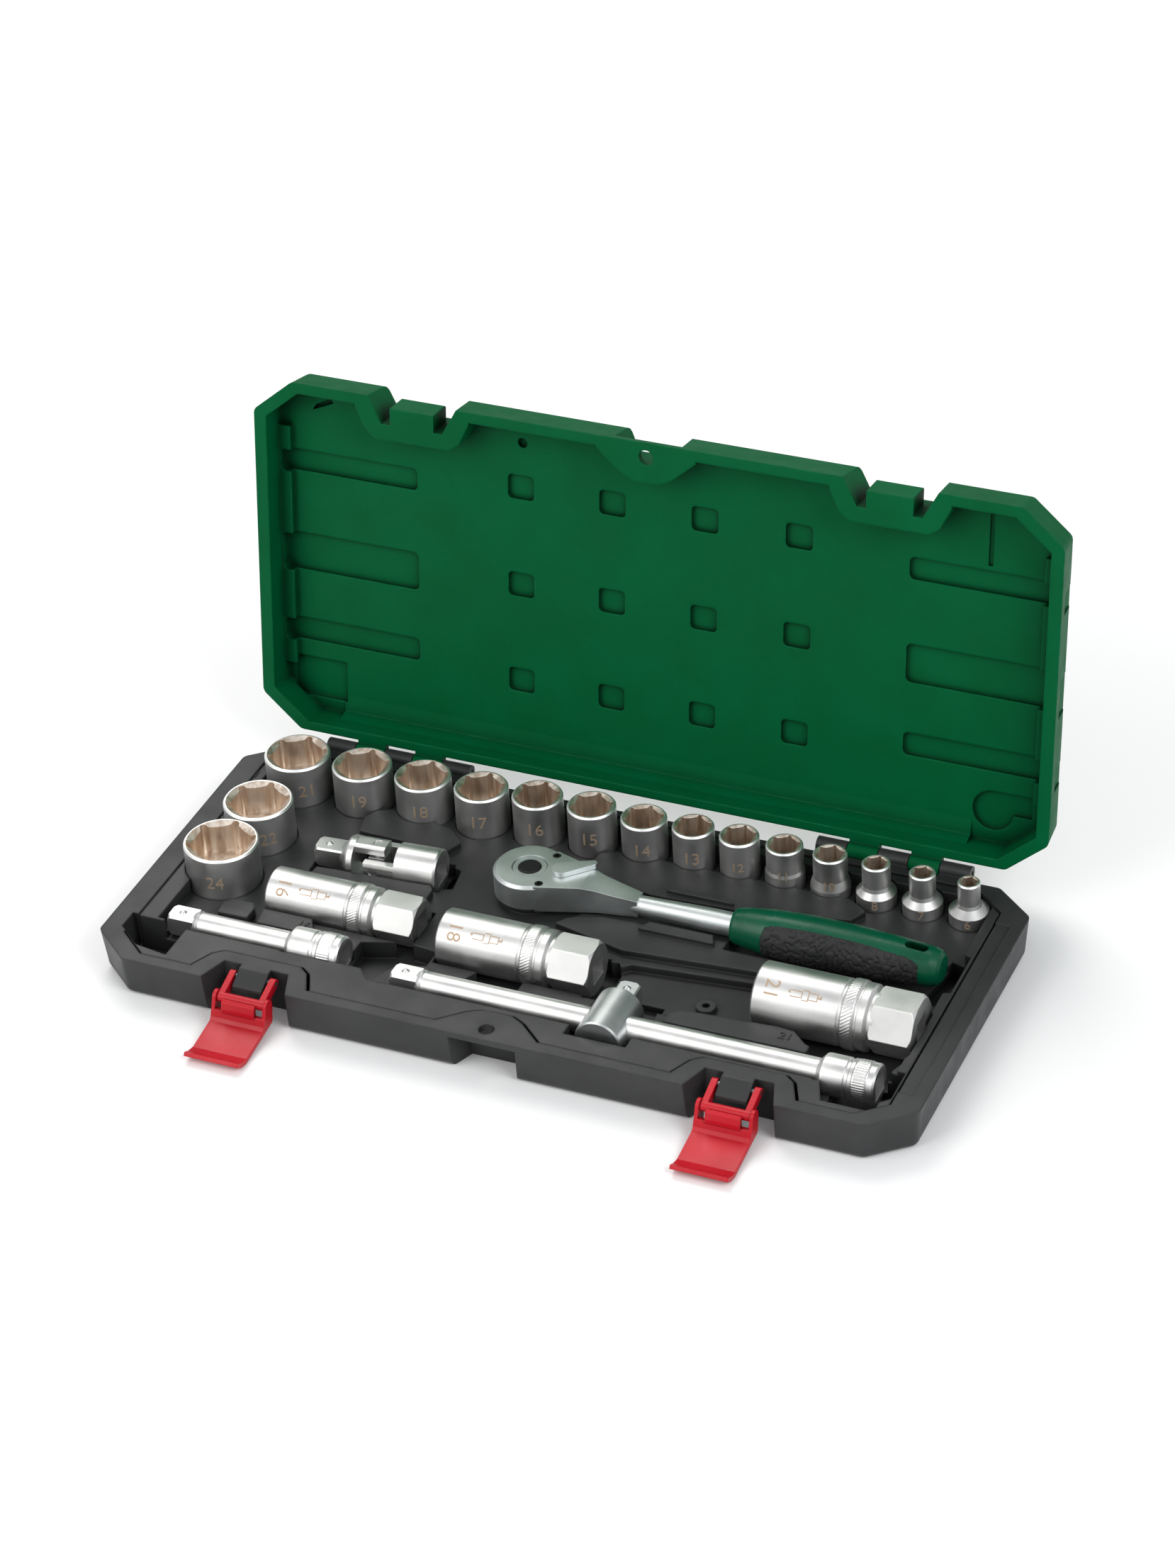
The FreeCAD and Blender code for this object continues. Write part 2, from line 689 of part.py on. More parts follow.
def ratchet_body():
    # round head, flat topped, that narrows to the shank
    head = turned([(head_bottom, head_radius - 1.2), (head_bottom + 1.2, head_radius), (head_top - 1.2, head_radius),
                   (head_top, head_radius - 1.2)], (head_x, head_y, 0), (0, 0, 1))
    lean = math.radians(62)
    ax = head_x + (head_radius - 0.3) * math.cos(lean)
    ay = (head_radius - 0.3) * math.sin(lean)
    neck = prism([(ax, head_y - ay), (8.0, ratchet_axis_y - 6.0), (26.0, ratchet_axis_y - 3.6),
                  (26.0, ratchet_axis_y + 3.6), (8.0, ratchet_axis_y + 6.0), (ax, head_y + ay)],
                 head_bottom, head_top)
    slope = side_slope()
    neck = neck.common(slope)
    shank = turned([(0, 3.6), (16.0, 4.0), (50.0, 5.0), (handle_start + 15.0 - 6.0, 5.0)],
                   (6.0, ratchet_axis_y, ratchet_axis_z), (1, 0, 0))
    body = joined([head, neck, shank])
    spindle = cylinder(spindle_radius + 0.08, 40.0, (head_x, head_y, 0), (0, 0, 1))
    lever_hole = cylinder(2.5 + running_clearance, 5.0, (-9.2, 22.7, head_top - 4.0), (0, 0, 1))
    screws = [screw_hole(x, y) for x, y in screw_places()]
    return less(body, [spindle, lever_hole] + screws)


def side_slope():
    # side view of the neck: deep at the head, thin where the shank begins
    points = [(head_x, head_bottom), (head_x, head_top), (2.0, head_top), (16.0, 24.4), (27.0, 22.8), (27.0, 15.2),
              (12.0, 14.9)]
    corners = [Vector(x, ratchet_axis_y - 20, z) for x, z in points]
    face = Part.Face(Part.makePolygon(corners + corners[:1]))
    return face.extrude(Vector(0, 40, 0))


def screw_places():
    return [(-15.7, 33.0), (-15.1, 12.4)]


def screw_hole(x, y):
    return cylinder(1.8, 3.0, (x, y, head_top - 2.0), (0, 0, 1))


def ratchet_screws():
    screws = []
    for x, y in screw_places():
        screw = cylinder(1.75, 2.0, (x, y, head_top - 1.95), (0, 0, 1))
        slot = hexagon(1.6, 0, 2.0)
        slot.translate(Vector(x, y, head_top - 1.2))
        screws.append(screw.cut(slot))
    return Part.makeCompound(screws)


def ratchet_spindle():
    half = drive_square / 2
    barrel = turned([(head_bottom - 1.0, spindle_radius - 0.6), (head_bottom - 0.4, spindle_radius),
                     (head_top - 0.9, spindle_radius), (head_top - 0.5, spindle_radius - 0.4)],
                    (head_x, head_y, 0), (0, 0, 1))
    square = box(head_x - half, head_x + half, head_y - half, head_y + half, well_floor + 0.5, head_bottom)
    tip = turned([(well_floor + 0.5, half * 1.12), (well_floor + 1.7, half * 1.32), (head_bottom, half * 1.32)],
                 (head_x, head_y, 0), (0, 0, 1))
    body = joined([barrel, square.common(tip)])
    well = cylinder(button_radius + 0.1, 8.0, (head_x, head_y, head_top - 6.0), (0, 0, 1))
    return body.cut(well)


def ratchet_button():
    return turned([(head_top - 3.4, button_radius), (head_top - 0.3, button_radius), (head_top + 0.2, button_radius - 0.7)],
                  (head_x, head_y, 0), (0, 0, 1))


def ratchet_lever():
    # teardrop thumb lever on a short pivot
    px = -9.2
    py = 22.7
    z0 = head_top + 0.1
    z1 = head_top + 2.4
    turn = math.radians(34.2)
    length = 13.6
    base_radius = 4.0
    tip_radius = 1.6
    lean = math.asin((base_radius - tip_radius) / length)
    points = []
    for side in (-1, 1):
        angle = side * (math.pi / 2 - lean)
        first = (base_radius * math.cos(angle), base_radius * math.sin(angle))
        second = (length + tip_radius * math.cos(angle), tip_radius * math.sin(angle))
        points += [first, second] if side < 0 else [second, first]
    blade = prism(points, z0, z1)
    blade = joined([blade, cylinder(base_radius, z1 - z0, (0, 0, z0), (0, 0, 1)),
                    cylinder(tip_radius, z1 - z0, (length, 0, z0), (0, 0, 1))])
    pivot = cylinder(2.5, 4.0, (0, 0, z0 - 3.9), (0, 0, 1))
    lever = joined([blade, pivot])
    lever.Placement = Placement(Vector(px, py, 0), Rotation(Vector(0, 0, 1), math.degrees(turn)))
    return lever


def handle_form(grow):
    stations = [(0.0, 7.0), (1.2, 7.6), (6.0, 8.6), (18.0, 10.0), (34.0, 10.6), (52.0, 10.4), (68.0, 9.6),
                (80.0, 8.8), (86.0, 8.3), (89.0, 7.2), (90.3, 5.4)]
    profile = [(a, r + grow) for a, r in stations]
    return turned(profile, (handle_start, ratchet_axis_y, ratchet_axis_z), (1, 0, 0))


def grip_zone():
    # front side of the handle, where the rubber is let in
    y0 = ratchet_axis_y
    points = [(80.5, y0 - 14), (150.0, y0 - 14), (150.0, y0 - 7.4), (146.0, y0 - 6.2), (118.0, y0 - 5.4),
              (90.0, y0 - 5.6), (84.0, y0 - 6.4)]
    return prism(points, 0.0, 40.0)


def ratchet_handle():
    body = handle_form(0.0)
    core = handle_form(-2.0)
    body = body.cut(grip_zone().cut(core))
    bore = cylinder(5.0 + running_clearance, 17.0, (handle_start - 1, ratchet_axis_y, ratchet_axis_z), (1, 0, 0))
    slot = box(144.2, 149.8, ratchet_axis_y - 2.2, ratchet_axis_y + 2.2, 0, 40)
    ends = [cylinder(2.2, 40.0, (x, ratchet_axis_y, 0), (0, 0, 1)) for x in (144.2, 149.8)]
    return less(body, [bore, slot] + ends)


def ratchet_grip():
    grip = handle_form(0.4).common(grip_zone())
    return grip.cut(handle_form(-2.0))


def trench(x0, x1, y, half, z0):
    return box(x0, x1, y - half, y + half, z0, well_top)


def tool_wells():
    c = well_clearance
    top = well_top
    cuts = []
    places = socket_places()
    for size, diameter in zip(socket_sizes, socket_diameters):
        x, y = places[size]
        radius = max(diameter, drive_end_diameter) / 2 + c
        cuts.append(cylinder(radius, top - well_floor, (x, y, well_floor), (0, 0, 1)))
    for size, diameter, x, y in plug_sockets:
        cuts.append(trench(x - 0.8, x + plug_length + 0.8, y, diameter / 2 + 0.8, well_floor))
    bar = tool_axis_z - bar_radius - 0.75
    end = tool_axis_z - 8.5 - 0.3
    for left, length, y in ((short_left, short_length, short_y), (long_left, long_length, long_y)):
        cuts.append(trench(left - 0.8, left + length - 20.0, y, 6.6, bar))
        cuts.append(trench(left + length - 25.0, left + length + 0.8, y, 9.1, end))
    low = tool_axis_z - slider_radius - 0.3
    cuts.append(box(slider_x - 13.5, slider_x + 13.5, -66.5, -26.5, low, top))
    joint = box(-joint_length / 2 - 0.8, joint_length / 2 + 2.4, -10.3, 10.3, -joint_radius - 0.3, 10)
    cuts.append(joint_place(joint))
    # ratchet: head, drive square, neck, shank and handle
    cuts.append(cylinder(head_radius + 0.8, 20.0, (head_x, head_y, head_bottom - seat_gap), (0, 0, 1)))
    cuts.append(cylinder(8.6, 20.0, (head_x, head_y, well_floor), (0, 0, 1)))
    cuts.append(prism([(head_x, 7.0), (-5.0, 8.5), (12.0, 15.0), (30.0, 16.0), (30.0, 28.5), (12.0, 29.5),
                       (-5.0, 36.5), (head_x, 38.2)], 13.6, top))
    cuts.append(trench(26.0, handle_start + 2, ratchet_axis_y, 6.2, 13.6))
    cuts.append(trench(handle_start - 1.0, handle_end + 1.5, ratchet_axis_y, 11.6, 8.1))
    return cuts


def finger_wells():
    z = well_floor
    top = well_top
    outlines = [
        [(-78.0, -54.0), (-78.0, -30.0), (-60.0, -24.0), (-45.0, -26.0), (-45.0, -36.0), (-57.0, -40.0), (-64.0, -54.0)],
        [(-30.0, -46.0), (-24.0, -33.0), (-3.0, -33.0), (-3.0, -46.0)],
        [(23.0, -34.0), (23.0, -9.0), (29.0, -8.0), (31.5, -12.0), (31.5, -34.0)],
        [(113.0, -31.0), (122.0, -39.0), (136.0, -44.0), (160.0, -44.0), (164.0, -34.0), (164.0, -6.0), (158.0, -4.0)],
        [(139.0, -45.0), (166.5, -45.0), (166.5, -62.0), (158.0, -70.5), (141.0, -70.5)],
        [(95.0, 2.0), (154.0, 5.0), (166.0, 9.0), (166.0, 34.0), (157.0, 37.0), (152.0, 12.0), (95.0, 13.0)],
        [(-64.0, 13.0), (-64.0, 31.0), (-59.0, 29.0), (-57.0, 16.0)],
    ]
    return [prism(points, z, top) for points in outlines]


def screw_bay():
    # lower floor beside the largest plug socket, round the tray's screw
    outline = [(30.0, -34.0), (30.0, -11.0), (34.0, -7.5), (88.0, -2.5), (93.5, -11.0), (93.5, -30.0), (88.0, -34.0)]
    return prism(outline, bay_floor, well_top)


def raised_panels():
    # moulded plateaus between the tools, and blocks that stand higher
    foot = tray_top - 0.1
    panels = [
        [(-110.8, 38.1), (-113.0, 48.0), (-110.0, 54.0), (-104.0, 57.0), (-74.0, 52.0), (-66.0, 44.0), (-69.0, 36.6)],
        [(-117.5, 0.0), (-116.2, 12.0), (-114.0, 15.0), (-68.0, 15.0), (-63.0, 9.0), (-63.0, 0.0)],
        [(-8.0, 47.0), (-7.0, 56.0), (0.0, 60.0), (104.0, 60.0), (113.0, 54.0), (109.3, 46.4), (66.0, 38.0),
         (25.2, 36.0), (6.0, 39.5)],
        [(-5.1, 5.0), (2.6, 16.0), (24.8, 20.5), (66.0, 20.5), (75.1, 16.4), (88.0, 11.0), (90.0, 1.5), (28.0, -3.2)],
        [(-123.0, -35.4), (-124.6, -26.0), (-102.0, -26.0), (-97.0, -35.4)],
    ]
    blocks = [
        [(29.8, 10.5), (33.5, 17.5), (60.0, 17.5), (63.0, 10.5)],
        [(63.1, -43.6), (63.7, -38.0), (67.5, -34.5), (108.0, -32.0), (117.0, -33.0), (124.0, -38.6), (124.0, -43.6)],
        [(-140.6, -36.4), (-141.2, -29.0), (-138.0, -26.0), (-129.0, -26.0), (-127.0, -29.0), (-127.0, -36.4)],
        [(31.0, 38.6), (34.0, 41.0), (57.0, 41.0), (61.0, 38.6)],
        [(162.0, -58.0), (160.0, -40.0), (163.0, -36.5), (166.8, -38.6), (166.8, -58.0)],
    ]
    shapes = [prism(points, foot, panel_top) for points in panels]
    return shapes + [prism(points, foot, block_top) for points in blocks]


def screw_boss():
    return cylinder(4.2, 2.6, (72.5, -21.5, bay_floor - 0.1), (0, 0, 1)).cut(
        cylinder(1.6, 4.0, (72.5, -21.5, bay_floor), (0, 0, 1)))


def tray_field():
    # the low middle of the tray, inside its raised border
    return [(-161.0, -50.5), (-161.0, -22.0), (-165.0, -16.0), (-165.0, 72.5), (163.0, 72.5), (163.0, -72.0),
            (141.0, -72.0), (136.0, -60.2), (-60.0, -60.2), (-66.0, -54.2), (-146.0, -54.2), (-146.0, -50.5)]


def head_seat():
    # ring that carries the ratchet's head
    return cylinder(head_radius - 2.5, head_bottom - seat_gap - tray_top + 0.1, (head_x, head_y, tray_top - 0.1),
                    (0, 0, 1))


def tool_tray():
    g = tray_groove
    outline = case_outline(rim_left + 0.3, rim_right + g, rim_front + g, rim_back + g, rim_corner + g, 0)
    tray = prism(outline, floor_thickness, border_top)
    tray = less(tray, [prism(tray_field(), tray_top, well_top)])
    tray = less(tray, front_bosses(g, 0.0, base_height + 2))
    tray = less(tray, [corner_pocket(0.0), screw_bay()])
    tray = joined([tray, screw_boss(), head_seat()] + raised_panels())
    return less(tray, finger_wells() + tool_wells())


def export(node, shape):
    shape.exportStep("parts/" + node + ".step")


os.makedirs("parts", exist_ok=True)
export("case_base", case_base())
export("tool_tray", tool_tray())
export("hinge_pins", hinge_pins())
export("latch_pins", latch_pins())
export("case_lid", case_lid())
for name, centre in (("left", -latch_x), ("right", latch_x)):
    export("latch_link_" + name, latch_link(centre))
    export("latch_lever_" + name, latch_lever(centre))
spots = socket_places()
for size, diameter in zip(socket_sizes, socket_diameters):
    export("socket_%02d" % size, socket(size, diameter, spots[size][0], spots[size][1]))
for size, diameter, x, y in plug_sockets:
    export("plug_socket_%02d" % size, plug_socket(size, diameter, x, y))
    export("plug_insert_%02d" % size, plug_insert(size, diameter, x, y))
export("extension_short", extension(short_left, short_length, short_y))
export("extension_short_ball", extension_ball(short_left, short_y))
export("extension_long", extension(long_left, long_length, long_y))
export("extension_long_ball", extension_ball(long_left, long_y))
export("slider_drive", slider_drive())
export("slider_ball", slider_ball())
export("joint_male", joint_male())
export("joint_female", joint_female())
export("joint_cross", joint_cross())
export("joint_ball", joint_ball())
export("ratchet_body", ratchet_body())
export("ratchet_screws", ratchet_screws())
export("ratchet_spindle", ratchet_spindle())
export("ratchet_button", ratchet_button())
export("ratchet_lever", ratchet_lever())
export("ratchet_handle", ratchet_handle())
export("ratchet_grip", ratchet_grip())
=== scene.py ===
import json
import math

import bpy
from mathutils import Matrix, Vector


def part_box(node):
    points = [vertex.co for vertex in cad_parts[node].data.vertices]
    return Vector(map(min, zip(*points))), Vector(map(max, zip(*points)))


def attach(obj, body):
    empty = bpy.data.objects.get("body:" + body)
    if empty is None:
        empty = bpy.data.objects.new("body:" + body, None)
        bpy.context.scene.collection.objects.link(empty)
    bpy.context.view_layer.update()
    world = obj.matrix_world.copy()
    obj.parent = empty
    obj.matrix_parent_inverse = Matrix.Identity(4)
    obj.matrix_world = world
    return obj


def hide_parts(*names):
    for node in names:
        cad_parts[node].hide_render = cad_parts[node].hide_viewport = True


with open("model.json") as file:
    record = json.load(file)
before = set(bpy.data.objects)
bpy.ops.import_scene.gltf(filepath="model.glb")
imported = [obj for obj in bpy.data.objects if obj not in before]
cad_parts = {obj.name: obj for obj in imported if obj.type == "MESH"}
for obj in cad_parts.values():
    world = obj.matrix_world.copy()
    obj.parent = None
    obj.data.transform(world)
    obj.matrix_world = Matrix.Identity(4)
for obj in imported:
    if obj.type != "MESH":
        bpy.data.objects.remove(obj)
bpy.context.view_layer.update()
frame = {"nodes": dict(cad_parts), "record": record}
nodes = frame["nodes"]

# --- Pale studio ---
# A plain pale floor under the case, a large soft lamp over the back left and a weaker one at the front right.
# They give the metal broad highlights and leave soft shadows in the wells.


def bare_selection():
    if bpy.context.object and bpy.context.object.mode != "OBJECT":
        bpy.ops.object.mode_set(mode="OBJECT")
    bpy.ops.object.select_all(action="DESELECT")


bare_selection()
bpy.ops.mesh.primitive_plane_add(size=12.0, location=(0, 0, -0.0002))
floor = bpy.context.object
floor.name = "floor"


def soft_lamp(place, aim, size, power, warmth):
    bpy.ops.object.light_add(type="AREA", location=place)
    lamp = bpy.context.object
    lamp.data.size = size
    lamp.data.energy = power
    lamp.data.color = warmth
    lamp.rotation_euler = (Vector(aim) - Vector(place)).to_track_quat("-Z", "Y").to_euler()


soft_lamp((-0.7, 0.9, 1.5), (0, 0.02, 0), 1.1, 15.0, (1.0, 0.985, 0.96))
soft_lamp((1.3, -0.6, 1.2), (0, 0, 0), 0.9, 14.0, (0.98, 0.99, 1.0))
soft_lamp((-0.9, -1.2, 1.1), (0, 0, 0.02), 1.2, 14.0, (1.0, 0.99, 0.97))

world = bpy.data.worlds.new("studio")
bpy.context.scene.world = world
world.use_nodes = True
world.node_tree.nodes["Background"].inputs["Color"].default_value = (0.93, 0.95, 0.97, 1)
world.node_tree.nodes["Background"].inputs["Strength"].default_value = 0.6

bpy.context.scene.view_settings.view_transform = "Standard"

# --- Camera ---
# Looks down on the case from its front right, a little turned about its own axis.
camera_place = Vector((0.6439, -1.3284, 1.1116))
yaw = math.radians(-25.3)
pitch = math.radians(-34.75)
roll = math.radians(-3.70)
ahead = Vector((math.sin(yaw) * math.cos(pitch), math.cos(yaw) * math.cos(pitch), math.sin(pitch)))
level = Vector((math.cos(yaw), -math.sin(yaw), 0))
above = level.cross(ahead)
right = level * math.cos(roll) + above * math.sin(roll)
up = above * math.cos(roll) - level * math.sin(roll)
bare_selection()
bpy.ops.object.camera_add(location=camera_place)
camera = bpy.context.object
camera.rotation_mode = "QUATERNION"
camera.rotation_quaternion = Matrix((right, up, -ahead)).transposed().to_quaternion()
camera.data.lens = 102.55
camera.data.sensor_width = 36.0
camera.data.clip_start = 0.05
bpy.context.scene.camera = camera

# --- Lower case half and tool tray ---
# Dark grey moulded polyethylene with a fine spark-eroded grain, slightly glossy, with a painted highlight and some wear
# laid lighter along its edges.
# The tray stands in the outer shell with a groove all round.


class Signal:
    """One socket of a material's nodes; arithmetic on it adds Math nodes."""

    def __init__(self, tree, socket):
        self.tree = tree
        self.socket = socket

    def node(self, kind, settings=None, inputs=None, output=0):
        made = self.tree.nodes.new("ShaderNode" + kind)
        for name, value in (settings or {}).items():
            if name == "stops":
                ramp = made.color_ramp
                while len(ramp.elements) < len(value):
                    ramp.elements.new(0.5)
                for element, (spot, colour) in zip(ramp.elements, value):
                    element.position = spot
                    element.color = colour
            else:
                setattr(made, name, value)
        for name, value in (inputs or {}).items():
            if isinstance(value, Signal):
                self.tree.links.new(value.socket, made.inputs[name])
            else:
                made.inputs[name].default_value = value
        return Signal(self.tree, made.outputs[output])

    def math(self, operation, other=0.0, first=False):
        pair = {0: other, 1: self} if first else {0: self, 1: other}
        return self.node("Math", {"operation": operation}, pair)

    def __add__(self, other):
        return self.math("ADD", other)

    def __radd__(self, other):
        return self.math("ADD", other)

    def __sub__(self, other):
        return self.math("SUBTRACT", other)

    def __rsub__(self, other):
        return self.math("SUBTRACT", other, first=True)

    def __mul__(self, other):
        return self.math("MULTIPLY", other)

    def __rmul__(self, other):
        return self.math("MULTIPLY", other)

    def __truediv__(self, other):
        return self.math("DIVIDE", other)

    def between(self, low, high, to_low=0.0, to_high=1.0):
        return self.node("MapRange", {"interpolation_type": "SMOOTHSTEP"},
                         {"Value": self, "From Min": low, "From Max": high, "To Min": to_low, "To Max": to_high})

    def axis(self, index):
        return self.node("SeparateXYZ", {}, {0: self}, index)

    def noise(self, scale, detail=2.0, stretch=(1, 1, 1)):
        place = self.node("Mapping", {}, {"Vector": self, "Scale": stretch})
        return self.node("TexNoise", {}, {"Vector": place, "Scale": scale, "Detail": detail})

    def blend(self, low, high):
        return self.node("Mix", {"data_type": "RGBA"}, {0: self, 6: low, 7: high}, 2)


def new_finish(name, roughness, metallic=0.0):
    material = bpy.data.materials.new(name)
    material.use_nodes = True
    tree = material.node_tree
    shader = tree.nodes["Principled BSDF"]
    shader.inputs["Roughness"].default_value = roughness
    shader.inputs["Metallic"].default_value = metallic
    place = Signal(tree, tree.nodes.new("ShaderNodeTexCoord").outputs["Object"])
    return material, shader, place


def feed(shader, name, signal):
    signal.tree.links.new(signal.socket, shader.inputs[name])


def rgb(r, g, b):
    return (r, g, b, 1.0)


def relief(shader, height, strength, distance, edge):
    """Bump over edges rounded by a small radius."""
    soft = height.node("Bevel", {"samples": 4}, {"Radius": edge})
    bump = height.node("Bump", {}, {"Height": height, "Strength": strength, "Distance": distance, "Normal": soft})
    feed(shader, "Normal", bump)


def worn_edge(place, radius):
    """High along the moulding's outer and inner corners, where the painted edge highlight and wear go."""
    rounded = place.node("Bevel", {"samples": 4}, {"Radius": radius})
    straight = place.node("NewGeometry", {}, {}, 1)
    return 1 - place.node("VectorMath", {"operation": "DOT_PRODUCT"}, {0: rounded, 1: straight}, 1)


def moulded_plastic(name, dark, light, roughness, edge=0.0009, grain=2600.0, gloss=0.28, hollow=0.007):
    material, shader, place = new_finish(name, roughness)
    shader.inputs["Specular IOR Level"].default_value = gloss
    cloud = place.noise(38.0, 3.0)
    fine = place.noise(grain, 2.0)
    colour = (cloud * 0.7 + fine * 0.3).between(0.3, 0.7).blend(dark, light)
    # Painted highlight with some wear: the corners get a much lighter colour, broken up by noise.
    worn_and_highlit_edge_colour = rgb(*[min(1.0, c * 1.9 + 0.008) for c in light[:3]])
    # Painted shade: a near-black copy of the dark colour, laid into crevices and recesses below.
    painted_crevice_shade = rgb(*[c * 0.2 for c in dark[:3]])
    scuff_and_highlight_breakup = place.noise(140.0, 4.0).between(0.35, 0.7, 0.25, 1.0)
    colour = (worn_edge(place, edge * 0.7).between(0.02, 0.22) * scuff_and_highlight_breakup).blend(colour, worn_and_highlit_edge_colour)
    # Ambient occlusion picks the crevices and recesses that get the painted shade.
    open_air = place.node("AmbientOcclusion", {"samples": 6, "only_local": True}, {"Distance": hollow}, 1)
    feed(shader, "Base Color", open_air.between(0.3, 0.95).blend(painted_crevice_shade, colour))
    feed(shader, "Roughness", (place.noise(90.0, 4.0) + fine * 0.3).between(0.35, 0.95, roughness - 0.07, roughness + 0.08))
    relief(shader, fine, 0.22, 0.0002, edge)
    return material


def dress(names, material):
    for name in names:
        node = nodes[name]
        if not node.material_slots:
            node.data.materials.append(material)
        for place in node.material_slots:
            place.material = material


case_finish = moulded_plastic("case_grain", rgb(0.020, 0.0205, 0.021), rgb(0.031, 0.0315, 0.032), 0.44, 0.0012, gloss=0.35)
tray_finish = moulded_plastic("tray_grain", rgb(0.018, 0.0185, 0.019), rgb(0.029, 0.0295, 0.030), 0.44, 0.0012, gloss=0.4)
dress(["case_base"], case_finish)
dress(["tool_tray"], tray_finish)

# --- Lid ---
# One green moulding of the same plastic, with a rim that closes over the tray.
# Pockets and square dimples inside keep the tools from shifting; five knuckles carry it on the hinge pins.
lid_finish = moulded_plastic("lid_grain", rgb(0.0, 0.082, 0.024), rgb(0.0, 0.096, 0.031), 0.48, 0.0012, gloss=0.06, hollow=0.010)
dress(["case_lid"], lid_finish)

lid_joint = [j for j in frame["record"]["behaviour"]["joints"] if j["name"] == "lid_hinge"][0]
lid_hinge = Vector(lid_joint["pos_m"])
lid_swing = math.radians(lid_joint["range_deg"][0])
lid_outside = 0.037
frame_half_x, frame_front, frame_back = 0.132, -0.052, 0.050
bare_selection()
bpy.ops.mesh.primitive_plane_add(size=1)
stiffener = bpy.context.object
stiffener.name = "lid_outer_frame"
for v in stiffener.data.vertices:
    v.co = Vector((v.co.x * 2 * frame_half_x, frame_back if v.co.y > 0 else frame_front, lid_outside))
bpy.ops.object.mode_set(mode="EDIT")
bpy.ops.mesh.select_all(action="SELECT")
bpy.ops.mesh.bevel(offset=0.014, affect="VERTICES")
bpy.ops.mesh.select_all(action="SELECT")
bpy.ops.mesh.inset(thickness=0.005)
bpy.ops.mesh.delete(type="FACE")
bpy.ops.mesh.select_all(action="SELECT")
bpy.ops.mesh.normals_make_consistent(inside=False)
bpy.ops.object.mode_set(mode="OBJECT")
band = stiffener.modifiers.new("band", "SOLIDIFY")
band.thickness = 0.0014
band.offset = 0
bpy.ops.object.modifier_apply(modifier="band")
soft_edge = stiffener.modifiers.new("soft_edge", "BEVEL")
soft_edge.width = 0.0003
soft_edge.segments = 2
bpy.ops.object.modifier_apply(modifier="soft_edge")
swing = Matrix.Rotation(lid_swing, 4, "X")
for v in stiffener.data.vertices:
    v.co = lid_hinge + swing @ (v.co - lid_hinge)
stiffener.data.materials.append(lid_finish)
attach(stiffener, "lid")

# --- Latches ---
# Red nylon, smoother than the case: a link on a steel pin at the front edge, and a lever that snaps over the lid.
# Both hang open here.
latch_finish = moulded_plastic("latch_red", rgb(0.42, 0.004, 0.012), rgb(0.52, 0.007, 0.018), 0.36, 0.0006, 1500.0, 0.3)
dress([n for n in nodes if n.startswith("latch_l")], latch_finish)

# --- Sockets ---
# Chrome vanadium steel with a satin chrome finish, olive-brown where oil sits in the hexagon, with a painted highlight
# that makes the rims brighter.
# Each carries its size, etched on the flank that faces the latches.


def chrome(name, tone, roughness, edge=0.0004, tint=None):
    material, shader, place = new_finish(name, roughness, 1.0)
    cloud = place.noise(60.0, 3.0)
    fine = place.noise(2200.0, 2.0)
    low = [c * 0.9 for c in tone] + [1.0]
    high = [c * 1.05 for c in tone] + [1.0]
    colour = cloud.between(0.3, 0.7).blend(low, high)
    if tint:
        colour = tint(place, colour)
    feed(shader, "Base Color", colour)
    feed(shader, "Roughness", (cloud * 0.6 + fine * 0.4).between(0.3, 0.7, roughness - 0.04, roughness + 0.06))
    relief(shader, fine, 0.05, 0.00003, edge)
    return material


def radius_about(place, centre, across):
    """Distance from a tool's axis, across its two given directions."""
    squares = [(place.axis(i) - centre[i]) * (place.axis(i) - centre[i]) for i in across]
    return (squares[0] + squares[1]).math("SQRT")


def socket_tint(low, high, mouth):
    centre = (low + high) / 2

    def tint(place, colour):
        from_axis = radius_about(place, centre, (0, 1))
        inside = 1 - from_axis.between(mouth, mouth + 0.0003)
        # Painted highlight: the top rim outside the mouth is laid near-white.
        painted_rim_highlight = place.axis(2).between(high.z - 0.0012, high.z - 0.0006) * (1 - inside)
        streak = place.noise(300.0, 2.0, (1, 1, 0.2)).between(0.35, 0.65)
        oiled = streak.blend(rgb(0.62, 0.50, 0.40), rgb(0.90, 0.81, 0.72))
        return painted_rim_highlight.blend(inside.blend(colour, oiled), rgb(0.92, 0.92, 0.9))

    return tint


socket_sizes = [int(n[-2:]) for n in nodes if n.startswith("socket_")]
mark_finish, mark_shader, mark_place = new_finish("etched_mark", 0.55, 0.6)
feed(mark_shader, "Base Color", mark_place.noise(700.0).blend(rgb(0.40, 0.28, 0.19), rgb(0.54, 0.42, 0.31)))
mark_thickness = 0.0001


def size_mark(name, words, height, thickness, cuts=2):
    """A closed flat mesh of a size number, centred on the origin, reading along X."""
    bare_selection()
    bpy.ops.object.text_add()
    mark = bpy.context.object
    mark.name = name
    mark.data.body = words
    mark.data.size = height * 1.4
    mark.data.extrude = thickness / 2
    mark.data.resolution_u = 3
    mark.data.align_x = "CENTER"
    mark.data.align_y = "CENTER"
    bpy.ops.object.convert(target="MESH")
    mark = bpy.context.object
    bpy.ops.object.mode_set(mode="EDIT")
    bpy.ops.mesh.select_all(action="SELECT")
    bpy.ops.mesh.remove_doubles(threshold=0.000001)
    bpy.ops.mesh.quads_convert_to_tris()
    bpy.ops.mesh.subdivide(number_cuts=cuts)
    bpy.ops.mesh.normals_make_consistent(inside=False)
    bpy.ops.object.mode_set(mode="OBJECT")
    return mark


def wrap_upright(mark, centre, radius, height, facing):
    """Lays a flat mark round an upright cylinder."""
    for v in mark.data.vertices:
        turn = facing + v.co.x / radius
        reach = radius + v.co.z
        v.co = Vector((centre.x + reach * math.cos(turn), centre.y + reach * math.sin(turn), height + v.co.y))


